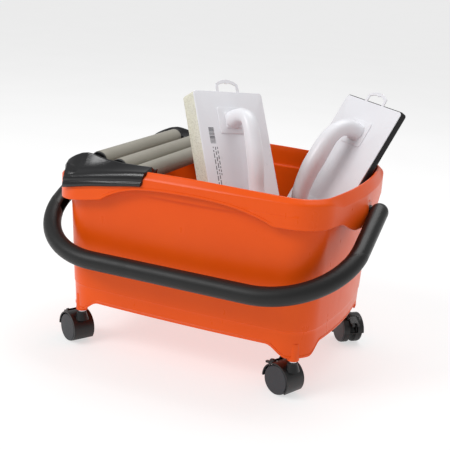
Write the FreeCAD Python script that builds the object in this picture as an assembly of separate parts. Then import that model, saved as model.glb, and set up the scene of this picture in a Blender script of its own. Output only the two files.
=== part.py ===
# Tiler's wash tub on casters: an open tub with a swinging bail handle, a squeeze-roller rack that lifts
# off the rim, a sediment grid, and two hand floats (sponge and rubber) that stand in the tub.
# Millimetres, +Z up. X runs along the tub's long side, Y across it.
import FreeCAD, Part
import math
import os

V = FreeCAD.Vector

# ---------------------------------------------------------------- driving dimensions
wall = 3.0

# tub: half sizes of the plan outline at three heights
foot_z = 67.0                 # underside of the four corner feet
skirt_z = 86.6                # underside of the tub between the feet
low_half = (232.0, 163.3)     # body outline at skirt_z
high_half = (240.5, 172.6)    # body outline at collar_foot_z
body_corner_r = 55.0
floor_z = 100.0               # top of the inner floor
ledge_z = 302.0               # inner step where the wall widens into the rim
collar_foot_z = 287.0
collar_half = (254.0, 188.0)
collar_corner_r = 61.0
shoulder_z = 325.0            # where the collar turns in over the lip
rim_z = 332.0
rim_half = (246.0, 179.0)
rim_corner_r = 51.0
mouth_inset = 3.0             # width of the flat top edge of the lip
long_bow_r = 3460.0           # the long sides bow outwards on this radius
short_bow_r = 710.0           # and the short sides on this one
foot_inner = (155.0, 98.0)    # where the skirt starts to drop towards a foot, along X and along Y
foot_outer = (192.0, 128.0)   # where it has reached the foot's full depth

# bail handle
pivot_z = 287.0
ear_face_x = 257.0
arm_x = 274.0                 # middle plane of each arm
tube_r = 15.0
core_r = 11.0                 # bail core under the grip cover
arm_length = 235.0            # pivot axis to the grip's centreline
bend_r = 137.0
bail_droop = 26.5             # degrees below horizontal at rest
pivot_pin_r = 6.0
running = 0.05                # radial clearance of every running fit
pivot_pin_end_x = 286.0

# roller rack
roller_r = 15.0
roller_wall = 3.0
roller_half = 134.5
roller_axes = ((-173.0, 331.0), (-134.0, 324.0), (-99.5, 317.0))   # x, z of each roller
axle_r = 4.0
axle_half = 157.0
cap_flange = 3.5
bracket_inner_y = 139.6       # inner face of each bracket
bracket_wall = 3.0
fit_gap = 0.3                 # clearance between pieces that only rest together

# casters
stem_at = (197.0, 141.0)
boss_foot_z = 62.0
boss_r = 10.0
sleeve_r = 7.0
stem_r = 5.5
spigot_r = 4.0                # part of the stem that the hood swivels on
trail = 17.3
wheel_r = 25.0
hood_r = 28.5
hood_wall = 2.3
hood_half = 19.5
web_half = 4.5
wheel_axle_r = 3.0
headings = {"fl": 152.0, "fr": 157.5, "br": -48.0, "bl": 205.0}    # degrees from +X, the way each caster trails

# sediment grid
grid_top_z = 183.5
grid_thick = 6.0
grid_half = (225.0, 156.0)
grid_corner_r = 46.0
grid_pitch = 32.0
grid_bar = 4.0
grid_rim = 9.0
leg_at = (165.0, 100.0)
leg_r = 8.0

# floats: size of each plate, and of the pad behind it
float_length = 280.0
plate_thick = 2.5
plate_corner_r = 6.0
handle_foot = 52.0            # from each end of the plate to the middle of a handle foot
handle_r = 13.5
handle_bend_r = 24.0
tab_size = (48.0, 22.0)
tab_band = 5.0


# ---------------------------------------------------------------- shape helpers
def tangent_corner(half_x, half_y, corner_r):
    """The corner arc that meets both bowed sides smoothly: returns its two ends and its middle point."""
    long_centre = V(0, half_y - long_bow_r, 0)
    short_centre = V(half_x - short_bow_r, 0, 0)
    to_long = long_bow_r - corner_r
    to_short = short_bow_r - corner_r
    between = short_centre - long_centre
    span = between.Length
    along = (to_long ** 2 - to_short ** 2 + span ** 2) / (2 * span)
    off = math.sqrt(to_long ** 2 - along ** 2)
    unit = between / span
    centre = long_centre + unit * along + V(unit.y, -unit.x, 0) * off
    long_end = long_centre + (centre - long_centre) * (long_bow_r / to_long)
    short_end = short_centre + (centre - short_centre) * (short_bow_r / to_short)
    middle = centre + (long_end + short_end - centre * 2).normalize() * corner_r
    return long_end, middle, short_end


def plan_wire(half, corner_r, z):
    """Rounded outline with bowed sides: four side arcs and four corner arcs, tangent to each other."""
    a, m, b = tangent_corner(half[0], half[1], corner_r)
    sides = []
    for sx, sy in ((1, 1), (1, -1), (-1, -1), (-1, 1)):
        first, last = (a, b) if sx * sy > 0 else (b, a)
        sides.append([V(p.x * sx, p.y * sy, z) for p in (first, m, last)])
    bulge = [V(half[0], 0, z), V(0, -half[1], z), V(-half[0], 0, z), V(0, half[1], z)]
    edges = []
    for i, corner in enumerate(sides):
        edges.append(Part.Arc(*corner).toShape())
        edges.append(Part.Arc(corner[2], bulge[i], sides[(i + 1) % 4][0]).toShape())
    return Part.Wire(edges)


def plan_loft(low, high, low_r, high_r, z_low, z_high):
    return Part.makeLoft([plan_wire(low, low_r, z_low), plan_wire(high, high_r, z_high)], True, True)


def grown(half, by):
    return (half[0] + by, half[1] + by)


def body_half(z):
    """Body outline at a height: the sides draft outwards steadily."""
    share = (z - skirt_z) / (collar_foot_z - skirt_z)
    return tuple(lo + (hi - lo) * share for lo, hi in zip(low_half, high_half))


def body_loft(z_low, z_high, inset=0.0):
    return plan_loft(grown(body_half(z_low), -inset), grown(body_half(z_high), -inset),
                     body_corner_r - inset, body_corner_r - inset, z_low, z_high)


def cylinder(radius, start, direction, length):
    return Part.makeCylinder(radius, length, start, direction)


def prism(points, direction):
    """Polygon through the points, extruded along the direction."""
    return Part.Face(Part.makePolygon(points + points[:1])).extrude(direction)


def box(low, high):
    return Part.makeBox(high[0] - low[0], high[1] - low[1], high[2] - low[2], V(*low))


def mirrored_y(shape):
    return shape.mirror(V(0, 0, 0), V(0, 1, 0))


def rounded_slab(width, y_low, y_high, z_low, z_high, radius):
    """Slab in a float's own frame, with its four upright corners rounded."""
    slab = box((-width / 2, y_low, z_low), (width / 2, y_high, z_high))
    upright = [e for e in slab.Edges if abs(e.Vertexes[0].Z - e.Vertexes[1].Z) > (z_high - z_low) / 2]
    return slab.makeFillet(radius, upright)


def swept_tube(edges, radius, start, heading):
    profile = Part.Wire([Part.makeCircle(radius, start, heading)])
    return Part.Wire(edges).makePipeShell([profile], True, False)


# ---------------------------------------------------------------- tub
def foot_cutter(inner, outer, reach, along_x):
    """Takes away the skirt between two feet. Its ends are S curves of two equal arcs."""
    rise = skirt_z - foot_z
    run = outer - inner
    arc_r = ((run / 2) ** 2 + (rise / 2) ** 2) / rise
    half_turn = math.asin(run / 2 / arc_r) / 2

    def place(u, z):
        return V(u, -reach, z) if along_x else V(-reach, u, z)

    def s_curve(side):
        top = place(side * inner, skirt_z)
        high = place(side * (inner + arc_r * math.sin(half_turn)), skirt_z - arc_r * (1 - math.cos(half_turn)))
        mid = place(side * (inner + run / 2), skirt_z - rise / 2)
        low = place(side * (outer - arc_r * math.sin(half_turn)), foot_z + arc_r * (1 - math.cos(half_turn)))
        end = place(side * outer, foot_z)
        return Part.Arc(top, high, mid).toShape(), Part.Arc(mid, low, end).toShape()

    depth = foot_z - 20
    edges = list(s_curve(1))
    edges.append(Part.makeLine(place(outer, foot_z), place(outer, depth)))
    edges.append(Part.makeLine(place(outer, depth), place(-outer, depth)))
    edges.append(Part.makeLine(place(-outer, depth), place(-outer, foot_z)))
    edges.extend(reversed(s_curve(-1)))
    edges.append(Part.makeLine(place(-inner, skirt_z), place(inner, skirt_z)))
    face = Part.Face(Part.Wire(Part.__sortEdges__(edges)))
    return face.extrude(V(0, 2 * reach, 0) if along_x else V(2 * reach, 0, 0))


def tub():
    shell = body_loft(foot_z, ledge_z)
    shell = shell.fuse(plan_loft(collar_half, collar_half, collar_corner_r, collar_corner_r,
                                 collar_foot_z, shoulder_z))
    shell = shell.fuse(plan_loft(collar_half, rim_half, collar_corner_r, rim_corner_r, shoulder_z, rim_z))

    mouth = grown(rim_half, -mouth_inset)
    mouth_r = rim_corner_r - mouth_inset
    cavity = body_loft(floor_z, ledge_z - wall, wall)
    cavity = cavity.fuse(plan_loft(mouth, mouth, mouth_r, mouth_r, ledge_z - wall, rim_z + 5))
    shell = shell.cut(cavity)

    # the collar is a thin skirt, open underneath
    pocket = plan_loft(grown(collar_half, -wall), grown(collar_half, -wall), collar_corner_r - wall,
                       collar_corner_r - wall, collar_foot_z - 5, shoulder_z - wall)
    kept = body_loft(foot_z, ledge_z)
    kept = kept.fuse(plan_loft(rim_half, rim_half, rim_corner_r, rim_corner_r, ledge_z - 2 * wall, rim_z))
    shell = shell.cut(pocket.cut(kept))

    # hollow under the floor, and the skirt cut away between the feet
    shell = shell.cut(body_loft(foot_z - 5, floor_z - wall, wall))
    shell = shell.cut(foot_cutter(foot_inner[0], foot_outer[0], 300, True))
    shell = shell.cut(foot_cutter(foot_inner[1], foot_outer[1], 400, False))

    for sx in (-1, 1):
        for sy in (-1, 1):
            at = V(sx * stem_at[0], sy * stem_at[1], boss_foot_z)
            shell = shell.fuse(cylinder(boss_r, at, V(0, 0, 1), floor_z - wall - boss_foot_z + 1))
            shell = shell.cut(cylinder(sleeve_r, at, V(0, 0, 1), 32))
        # pivot ear: a boss through the collar
        start = V(sx * (body_half(ledge_z)[0] - wall / 2), 0, pivot_z)
        out = V(sx, 0, 0)
        shell = shell.fuse(cylinder(16, start, out, ear_face_x - abs(start.x)))
        shell = shell.fuse(cylinder(20, V(sx * (collar_half[0] - 2), 0, pivot_z), out, ear_face_x - collar_half[0] + 2))
        shell = shell.cut(cylinder(pivot_pin_r, V(sx * 243, 0, pivot_z), out, 40))
    return shell.removeSplitter()


def stem_sleeves():
    parts = []
    for sx in (-1, 1):
        for sy in (-1, 1):
            at = V(sx * stem_at[0], sy * stem_at[1], boss_foot_z)
            parts.append(cylinder(sleeve_r, at, V(0, 0, 1), 32).cut(cylinder(stem_r, at, V(0, 0, 1), 32)))
    return Part.makeCompound(parts)


# ---------------------------------------------------------------- bail handle
droop = math.radians(bail_droop)
arm_dir = V(0, -math.cos(droop), -math.sin(droop))
bail_normal = V(0, math.sin(droop), -math.cos(droop))


def bail_point(x, reach, off=0.0):
    """Point in the bail's plane: x across the tub, reach along the arm from the pivot axis."""
    return V(x, 0, pivot_z) + arm_dir * reach + bail_normal * off


def bail_edges():
    bend_start = arm_length - bend_r
    straight = arm_x - bend_r
    diagonal = math.sqrt(0.5) * bend_r
    edges = [Part.makeLine(bail_point(arm_x, 0), bail_point(arm_x, bend_start))]
    edges.append(Part.Arc(bail_point(arm_x, bend_start), bail_point(straight + diagonal, bend_start + diagonal),
                          bail_point(straight, arm_length)).toShape())
    edges.append(Part.makeLine(bail_point(straight, arm_length), bail_point(-straight, arm_length)))
    edges.append(Part.Arc(bail_point(-straight, arm_length), bail_point(-straight - diagonal, bend_start + diagonal),
                          bail_point(-arm_x, bend_start)).toShape())
    edges.append(Part.makeLine(bail_point(-arm_x, bend_start), bail_point(-arm_x, 0)))
    return edges


def bail_and_grip():
    full = swept_tube(bail_edges(), tube_r, bail_point(arm_x, 0), arm_dir)
    core = swept_tube(bail_edges(), core_r, bail_point(arm_x, 0), arm_dir)
    # the grip cover ends on slanting seams
    seam = [(-191, 190), (-106, 262), (106, 262), (191, 190)]
    window = prism([bail_point(x, reach, -30) for x, reach in seam], bail_normal * 60)
    grip = full.common(window).cut(core)
    bail = full.cut(grip)
    for sx in (-1, 1):
        bail = bail.fuse(Part.makeSphere(tube_r, bail_point(sx * arm_x, 0)))
        # the arm is a channel, open towards the tub, with a solid end for the pivot
        inside = sx * (arm_x - tube_r - 1)
        outside = sx * (arm_x + 11)
        corners = [bail_point(inside, 24, -9), bail_point(outside, 24, -9), bail_point(outside, 24, 9),
                   bail_point(inside, 24, 9)]
        bail = bail.cut(prism(corners, arm_dir * (arm_length - bend_r - 24)))
        flat = box((min(inside, sx * (ear_face_x + 4)), -20, pivot_z - 20),
                   (max(inside, sx * (ear_face_x + 4)), 20, pivot_z + 20))
        bail = bail.cut(flat)
        start = V(sx * (ear_face_x - 5), 0, pivot_z)
        bail = bail.cut(cylinder(pivot_pin_r + running, start, V(sx, 0, 0), pivot_pin_end_x - ear_face_x + 5.5))
    return bail, grip


def bail_pivot(side):
    out = V(side, 0, 0)
    pin = cylinder(pivot_pin_r, V(side * 243, 0, pivot_z), out, pivot_pin_end_x - 243)
    return pin.fuse(cylinder(9.5, V(side * ear_face_x, 0, pivot_z), out, 3))


# ---------------------------------------------------------------- roller rack
def bracket():
    """Saddle over the rim at the front left corner, with an inner cheek that carries the axles."""
    low_r = collar_corner_r + bracket_wall + fit_gap
    outline = grown(collar_half, bracket_wall + fit_gap)
    saddle = plan_loft(outline, outline, low_r, low_r, collar_foot_z - 4, rim_z + 14)
    hollow = grown(collar_half, fit_gap)
    hollow_r = collar_corner_r + fit_gap
    saddle = saddle.cut(plan_loft(hollow, hollow, hollow_r, hollow_r, collar_foot_z - 6, rim_z + fit_gap))
    cheek_y = 165.0
    cheek = box((-206, -cheek_y, ledge_z + 1), (-80, -bracket_inner_y, rim_z + 1))
    saddle = saddle.fuse(cheek)
    # side outline: a low flap on the collar, and a top that peaks beside the highest roller
    side = [(-244, 290), (-215, 289.5), (-140, 300), (-72, 313.5), (-62, 317), (-60, 338), (-100, 336),
            (-140, 338), (-165, 343), (-188, 343), (-215, 337), (-244, 335)]
    keep = prism([V(x, -260, z) for x, z in side], V(0, 260 - bracket_inner_y, 0))
    saddle = saddle.common(keep)
    # the outer face leans in above the flap, and its end is cut back so that the bail swings past
    lean = prism([V(-300, y, z) for y, z in ((-230, 308), (-193, 308), (-166, 350), (-230, 350))], V(300, 0, 0))
    saddle = saddle.cut(lean)
    end = prism([V(x, y, 270) for x, y in ((-213, -250), (-213, -186), (-246, -142), (-300, -142), (-300, -250))],
                V(0, 0, 100))
    saddle = saddle.cut(end)
    # the inner edge of the top runs diagonally across the corner
    trim = prism([V(-207, -139, 250), V(-207, -170, 250), V(-250, -150, 250), V(-250, -139, 250)], V(0, 0, 120))
    saddle = saddle.cut(trim)
    for x, z in roller_axes:
        saddle = saddle.cut(cylinder(axle_r, V(x, -bracket_inner_y + 1, z), V(0, -1, 0), axle_half - bracket_inner_y + 1))
    return saddle.removeSplitter()


def roller_axle(x, z):
    return cylinder(axle_r, V(x, -axle_half, z), V(0, 1, 0), 2 * axle_half)


def roller_tube(x, z):
    tube = cylinder(roller_r, V(x, -roller_half, z), V(0, 1, 0), 2 * roller_half)
    return tube.cut(cylinder(roller_r - roller_wall, V(x, -roller_half, z), V(0, 1, 0), 2 * roller_half))


def roller_end_caps(x, z):
    caps = []
    for side in (-1, 1):
        face = V(x, side * roller_half, z)
        cap = cylinder(roller_r - 0.4, face, V(0, side, 0), cap_flange)
        cap = cap.fuse(cylinder(roller_r - roller_wall, face, V(0, -side, 0), 18))
        caps.append(cap.cut(cylinder(axle_r + running, V(x, side * (roller_half - 30), z), V(0, side, 0), 60)))
    return Part.makeCompound(caps)


# ---------------------------------------------------------------- casters
# Each caster is drawn with its stem on the Z axis and its wheels trailing along +X, then turned and moved.
axle_at = V(trail, 0, wheel_r)


def rim_point(radius, angle, y=0.0):
    turn = math.radians(angle)
    return V(trail + radius * math.cos(turn), y, wheel_r + radius * math.sin(turn))


lever_pivot_angle = 58.0
lever_pivot_r = 29.5
lever_half = 7.5


def caster_stem():
    stem = cylinder(spigot_r, V(0, 0, 45.5), V(0, 0, 1), boss_foot_z - 45.5)
    stem = stem.fuse(cylinder(7, V(0, 0, 59.8), V(0, 0, 1), boss_foot_z - 59.8))
    return stem.fuse(cylinder(stem_r, V(0, 0, boss_foot_z), V(0, 0, 1), 30))


def caster_hood():
    across = V(0, 1, 0)
    full = cylinder(hood_r, axle_at - across * hood_half, across, 2 * hood_half)
    inner_r = hood_r - hood_wall
    wheel_room = [cylinder(inner_r, axle_at + across * (side * web_half), across * side, hood_half)
                  for side in (-1, 1)]
    boss = Part.makeCone(12.5, 8, 13, V(0, 0, 44)).fuse(cylinder(8, V(0, 0, 50), V(0, 0, 1), 8.8))
    hood = full.fuse(boss)
    for room in wheel_room:
        hood = hood.cut(room)
    # ears for the brake lever, on the outside of the hood
    pivot = rim_point(lever_pivot_r, lever_pivot_angle)
    ear = cylinder(3.6, pivot - across * 11.5, across, 23)
    ear = ear.cut(cylinder(inner_r, axle_at - across * 20, across, 40))
    hood = hood.fuse(ear)
    # window for the lever
    window = [rim_point(r, a, -lever_half - 0.6) for r, a in ((24, 2), (48, 2), (48, 72), (24, 72))]
    hood = hood.cut(prism(window, across * (2 * lever_half + 1.2)))
    hood = hood.cut(cylinder(1.55, pivot - across * 10.5, across, 21))
    # the hood is open below a slanting line
    below = [rim_point(hood_r + 3, -146, -40), rim_point(hood_r + 6, 3, -40), V(60, -40, -10), V(-30, -40, -10)]
    hood = hood.cut(prism(below, across * 80))
    hood = hood.cut(cylinder(wheel_axle_r, axle_at - across * 10, across, 20))
    return hood.cut(cylinder(spigot_r + running, V(0, 0, 40), V(0, 0, 1), 30)).removeSplitter()


def caster_axle():
    return cylinder(wheel_axle_r, axle_at - V(0, 14, 0), V(0, 1, 0), 28)


def caster_wheel(side):
    out = V(0, side, 0)
    wheel = cylinder(wheel_r, axle_at + out * 5, out, 11.5)
    rims = [e for e in wheel.Edges if abs(e.Length - 2 * math.pi * wheel_r) < 0.01]
    wheel = wheel.makeFillet(1.5, rims)
    wheel = wheel.cut(cylinder(17, axle_at + out * 14.3, out, 5))
    return wheel.cut(cylinder(wheel_axle_r + running, axle_at, out, 20))


def wheel_cap(side):
    out = V(0, side, 0)
    disc = cylinder(24.2, axle_at + out * 16.5, out, 2.5)
    face = [e for e in disc.Edges if abs(e.Length - 2 * math.pi * 24.2) < 0.01 and
            abs(e.CenterOfMass.y) > 17]
    disc = disc.makeChamfer(1.2, face)
    return disc.fuse(cylinder(17, axle_at + out * 14.3, out, 3))


def brake_lever():
    """Bar that leaves its pivot along the hood's tangent and ends in a fork."""
    angle = math.radians(lever_pivot_angle)
    pivot = rim_point(lever_pivot_r, lever_pivot_angle)
    radial = V(math.cos(angle), 0, math.sin(angle))
    down = V(math.sin(angle), 0, -math.cos(angle))
    across = V(0, 1, 0)
    side = -across * lever_half
    points = [pivot - down * 3 + radial * 1.8, pivot + down * 12 + radial * 1.8, pivot + down * 19 + radial * 4.5,
              pivot + down * 20.5 + radial * 1.5, pivot + down * 13 - radial * 1.7, pivot - down * 1.5 - radial * 1.7]
    bar = prism([p + side for p in points], across * (2 * lever_half))
    notch = [pivot + down * 12 + radial * 8, pivot + down * 26 + radial * 8, pivot + down * 26 - radial * 6,
             pivot + down * 12 - radial * 6]
    bar = bar.cut(prism([p - across * 2.5 for p in notch], across * 5))
    return bar.fuse(cylinder(1.5, pivot - across * 10.3, across, 20.6))


def placed_caster(shape, name):
    sx = 1 if name[1] == "r" else -1
    sy = 1 if name[0] == "b" else -1
    placed = shape.copy()
    placed.rotate(V(0, 0, 0), V(0, 0, 1), headings[name])
    placed.translate(V(sx * stem_at[0], sy * stem_at[1], 0))
    return placed


# ---------------------------------------------------------------- sediment grid
def grid():
    low_z = grid_top_z - grid_thick
    outer = plan_loft(grid_half, grid_half, grid_corner_r, grid_corner_r, low_z, grid_top_z)
    inner = plan_loft(grown(grid_half, -grid_rim), grown(grid_half, -grid_rim), grid_corner_r - grid_rim,
                      grid_corner_r - grid_rim, low_z - 1, grid_top_z + 1)
    bars = []
    for i in range(-6, 7):
        x = i * grid_pitch
        bars.append(box((x - grid_bar / 2, -grid_half[1], low_z), (x + grid_bar / 2, grid_half[1], grid_top_z)))
    for i in range(-4, 5):
        y = i * grid_pitch
        bars.append(box((-grid_half[0], y - grid_bar / 2, low_z), (grid_half[0], y + grid_bar / 2, grid_top_z)))
    lattice = bars[0].multiFuse(bars[1:]).common(outer)
    return outer.cut(inner).fuse(lattice).removeSplitter()


def grid_legs():
    height = grid_top_z - grid_thick - floor_z
    return Part.makeCompound([cylinder(leg_r, V(sx * leg_at[0], sy * leg_at[1], floor_z), V(0, 0, 1), height)
                              for sx in (-1, 1) for sy in (-1, 1)])


# ---------------------------------------------------------------- hand floats
# A float is drawn in its own frame: X across, Y up its length with 0 at the top edge, Z out of the handle
# side with 0 at the plate's face. It is then leaned into the tub.
def float_frame(top_centre, azimuth, tilt, roll):
    """Placement that faces the handle side along azimuth and tilt, with the float turned in its own plane."""
    az, el, turn = (math.radians(v) for v in (azimuth, tilt, roll))
    out = V(math.cos(az) * math.cos(el), math.sin(az) * math.cos(el), math.sin(el))
    steepest = (V(0, 0, 1) - out * out.z).normalize()
    level = steepest.cross(out)
    up = steepest * math.cos(turn) + level * math.sin(turn)
    across = up.cross(out)
    matrix = FreeCAD.Matrix(across.x, up.x, out.x, top_centre[0], across.y, up.y, out.y, top_centre[1],
                            across.z, up.z, out.z, top_centre[2], 0, 0, 0, 1)
    return FreeCAD.Placement(matrix)


sponge_float = {"frame": float_frame((-3.9, -7.2, 451.5), -27.7, 28.1, 4.8), "width": 142.0, "pad": 30.0,
                "pad_over": 0.0, "grip_height": 34.0}
rubber_float = {"frame": float_frame((202.0, 166.0, 437.6), 241.2, 30.4, 5.1), "width": 140.0, "pad": 11.0,
                "pad_over": 2.0, "grip_height": 45.0}
lift = 400.0                  # how far each float slides out of the tub


def leaned(shape, spec):
    placed = shape.copy()
    placed.Placement = spec["frame"].multiply(placed.Placement)
    return placed


def float_plate(spec):
    plate = rounded_slab(spec["width"], -float_length, 0, -plate_thick, 0, plate_corner_r)
    half, height = tab_size[0] / 2, tab_size[1]
    outline = [(-half, -4), (-half, height * 0.62), (-half * 0.55, height), (half * 0.55, height),
               (half, height * 0.62), (half, -4)]
    hole = [(-half + tab_band, 3), (-half + tab_band, height * 0.55), (-half * 0.45, height - tab_band),
            (half * 0.45, height - tab_band), (half - tab_band, height * 0.55), (half - tab_band, 3)]
    tab = prism([V(x, y, -plate_thick) for x, y in outline], V(0, 0, plate_thick))
    tab = tab.cut(prism([V(x, y, -plate_thick - 1) for x, y in hole], V(0, 0, plate_thick + 2)))
    return leaned(plate.fuse(tab).removeSplitter(), spec)


def float_pad(spec):
    over = spec["pad_over"]
    pad = rounded_slab(spec["width"] + 2 * over, -float_length - over, over, -plate_thick - spec["pad"],
                       -plate_thick, plate_corner_r)
    return leaned(pad, spec)


def float_handle(spec):
    """Round grip on two legs, each on a flat foot."""
    top = -handle_foot
    foot = top - 2
    low = -float_length + handle_foot
    height = spec["grip_height"]
    bend = handle_bend_r
    corner = bend * (1 - math.sqrt(0.5))
    edges = [Part.makeLine(V(0, top, 1), V(0, top, height - bend))]
    edges.append(Part.Arc(V(0, top, height - bend), V(0, top - corner, height - corner),
                          V(0, top - bend, height)).toShape())
    edges.append(Part.makeLine(V(0, top - bend, height), V(0, low + bend, height)))
    edges.append(Part.Arc(V(0, low + bend, height), V(0, low + corner, height - corner),
                          V(0, low, height - bend)).toShape())
    edges.append(Part.makeLine(V(0, low, height - bend), V(0, low, 1)))
    handle = swept_tube(edges, handle_r, V(0, top, 1), V(0, 0, 1))
    for middle in (foot, low + 2):
        handle = handle.fuse(rounded_slab(50, middle - 23, middle + 23, 0, 2.2, 4))
    return leaned(handle.removeSplitter(), spec)


# ---------------------------------------------------------------- everything together
def all_nodes():
    bail, grip = bail_and_grip()
    front = bracket()
    nodes = {"tub": tub(), "stem_sleeves": stem_sleeves(), "bail": bail, "bail_grip": grip,
             "bail_pivot_left": bail_pivot(-1), "bail_pivot_right": bail_pivot(1),
             "bracket_front": front, "bracket_back": mirrored_y(front)}
    for i, (x, z) in enumerate(roller_axes, 1):
        nodes[f"roller_axle_{i}"] = roller_axle(x, z)
        nodes[f"roller_tube_{i}"] = roller_tube(x, z)
        nodes[f"roller_end_caps_{i}"] = roller_end_caps(x, z)
    pieces = {"stem": caster_stem(), "hood": caster_hood(), "wheel_axle": caster_axle(),
              "wheel_a": caster_wheel(-1), "wheel_b": caster_wheel(1), "wheel_cap_a": wheel_cap(-1),
              "wheel_cap_b": wheel_cap(1), "brake_lever": brake_lever()}
    for corner in headings:
        for piece, shape in pieces.items():
            nodes[f"{piece}_{corner}"] = placed_caster(shape, corner)
    nodes["sediment_grid"] = grid()
    nodes["grid_legs"] = grid_legs()
    for name, spec in (("sponge", sponge_float), ("rubber", rubber_float)):
        nodes[f"{name}_float_plate"] = float_plate(spec)
        nodes[f"{name}_float_pad"] = float_pad(spec)
        nodes[f"{name}_float_handle"] = float_handle(spec)
    return nodes


def frame_shift(nodes):
    """Moves the middle of the whole model's bottom to the origin."""
    whole = FreeCAD.BoundBox()
    for shape in nodes.values():
        whole.add(shape.optimalBoundingBox(False, False))
    return V(-whole.Center.x, -whole.Center.y, -whole.ZMin)


nodes = all_nodes()
shift = frame_shift(nodes)
os.makedirs("parts", exist_ok=True)
for name, shape in nodes.items():
    shape.translate(shift)
    shape.exportStep(f"parts/{name}.step")
print(len(nodes), "nodes, shift", shift)
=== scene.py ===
import math

import bpy
import numpy as np
from mathutils import Matrix, Vector


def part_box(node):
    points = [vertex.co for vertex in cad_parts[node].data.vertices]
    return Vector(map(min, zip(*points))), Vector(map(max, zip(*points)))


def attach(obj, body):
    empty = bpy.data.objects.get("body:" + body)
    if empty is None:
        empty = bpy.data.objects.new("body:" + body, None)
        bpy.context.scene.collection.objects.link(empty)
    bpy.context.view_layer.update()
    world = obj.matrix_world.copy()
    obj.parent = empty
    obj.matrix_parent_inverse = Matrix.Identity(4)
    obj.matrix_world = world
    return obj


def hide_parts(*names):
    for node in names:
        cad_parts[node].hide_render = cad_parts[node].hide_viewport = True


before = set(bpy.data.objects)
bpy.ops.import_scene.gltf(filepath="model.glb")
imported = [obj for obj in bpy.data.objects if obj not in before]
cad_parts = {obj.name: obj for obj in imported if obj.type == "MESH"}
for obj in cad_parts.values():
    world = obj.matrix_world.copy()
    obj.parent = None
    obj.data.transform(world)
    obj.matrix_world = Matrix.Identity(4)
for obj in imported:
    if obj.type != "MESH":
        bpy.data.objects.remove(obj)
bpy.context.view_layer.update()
tubLow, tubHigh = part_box("tub")
origin = np.array([(tubLow.x + tubHigh.x) / 2, (tubLow.y + tubHigh.y) / 2, 0.0])
print("frame loaded, tub middle at", origin.round(5))


def softStep(t):
    # 0 below 0 and 1 above 1, with a smooth S between: 3t^2 - 2t^3
    t = np.clip(t, 0.0, 1.0)
    return t * t * (3.0 - 2.0 * t)


def mixed(a, b, share):
    return a + (b - a) * share


def unit(v):
    v = np.asarray(v, float)
    return v / np.linalg.norm(v, axis=-1, keepdims=True)


def gridPart(points, closedRows=False, closedColumns=True, capLow=False, capHigh=False):
    # quads over a rows x columns x 3 array, with a fan to the middle of the first or last row where asked
    points = np.asarray(points, float)
    rows, columns = points.shape[:2]
    r, c = np.meshgrid(np.arange(rows if closedRows else rows - 1),
                       np.arange(columns if closedColumns else columns - 1), indexing="ij")
    nextRow = (r + 1) % rows
    nextColumn = (c + 1) % columns
    quads = np.stack([r * columns + c, r * columns + nextColumn,
                      nextRow * columns + nextColumn, nextRow * columns + c], -1).reshape(-1, 4)
    flat = points.reshape(-1, 3)
    around = np.arange(columns)
    following = (around + 1) % columns
    for wanted, row, forward in ((capLow, 0, False), (capHigh, rows - 1, True)):
        if wanted:
            pole = len(flat)
            flat = np.vstack([flat, points[row].mean(0)])
            first, second = (around, following) if forward else (following, around)
            fan = np.stack([row * columns + first, row * columns + second,
                            np.full(columns, pole), np.full(columns, -1)], -1)
            quads = np.vstack([quads, fan])
    return flat, quads


def outward(points, faces):
    # turns all faces over where the volume they enclose comes out negative
    a = points[faces[:, 0]]
    b = points[faces[:, 1]]
    c = points[faces[:, 2]]
    d = points[np.where(faces[:, 3] < 0, faces[:, 2], faces[:, 3])]
    volume = (np.einsum("ij,ij->i", a, np.cross(b, c)) + np.einsum("ij,ij->i", a, np.cross(c, d))).sum()
    if volume < 0:
        turned = faces[:, [0, 3, 2, 1]].copy()
        fans = faces[:, 3] < 0
        turned[fans] = faces[fans][:, [0, 2, 1, 3]]
        return turned
    return faces


def addPiece(name, parts, material, body, stands=(), sharp=38.0):
    # one closed mesh per part, joined, smooth but for edges sharper than the angle
    allPoints = []
    allFaces = []
    start = 0
    for points, faces in parts:
        faces = outward(points, faces)
        allPoints.append(points)
        allFaces.extend([int(i) + start for i in face if i >= 0] for face in faces)
        start += len(points)
    places = np.vstack(allPoints) * 0.001 + origin
    mesh = bpy.data.meshes.new(name)
    mesh.from_pydata(places.tolist(), [], allFaces)
    mesh.polygons.foreach_set("use_smooth", [True] * len(mesh.polygons))
    mesh.set_sharp_from_angle(angle=math.radians(sharp))
    mesh.materials.append(material)
    made = bpy.data.objects.new(name, mesh)
    bpy.context.scene.collection.objects.link(made)
    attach(made, body)
    if stands:
        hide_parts(*stands)
    return made


def revolvedPart(profile, centre, axis, around=64, closed=False):
    # profile of (along, radius) pairs turned about the axis; an open profile is capped at both ends
    profile = np.asarray(profile, float)
    axis = unit(axis)
    side = unit(np.cross(axis, (0.3, 0.5, 0.81)))
    up = np.cross(axis, side)
    turn = np.linspace(0, 2 * math.pi, around, endpoint=False)
    ring = side[None] * np.cos(turn)[:, None] + up[None] * np.sin(turn)[:, None]
    middles = np.asarray(centre, float) + axis * profile[:, :1]
    points = middles[:, None] + ring[None] * profile[:, 1:2][:, None]
    return gridPart(points, closedRows=closed, capLow=not closed, capHigh=not closed)


def roundedRing(halfX, halfY, radius, perCorner=8):
    # rounded rectangle about the origin; the arrays of sizes share one shape and come first in the result
    halfX, halfY, radius = np.broadcast_arrays(*(np.asarray(v, float) for v in (halfX, halfY, radius)))
    turn = np.concatenate([np.linspace(0, math.pi / 2, perCorner) + k * math.pi / 2 for k in range(4)])
    signX = np.repeat([1, -1, -1, 1], perCorner)
    signY = np.repeat([1, 1, -1, -1], perCorner)
    x = signX * (halfX - radius)[..., None] + radius[..., None] * np.cos(turn)
    y = signY * (halfY - radius)[..., None] + radius[..., None] * np.sin(turn)
    return np.stack([x, y], -1)


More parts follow.
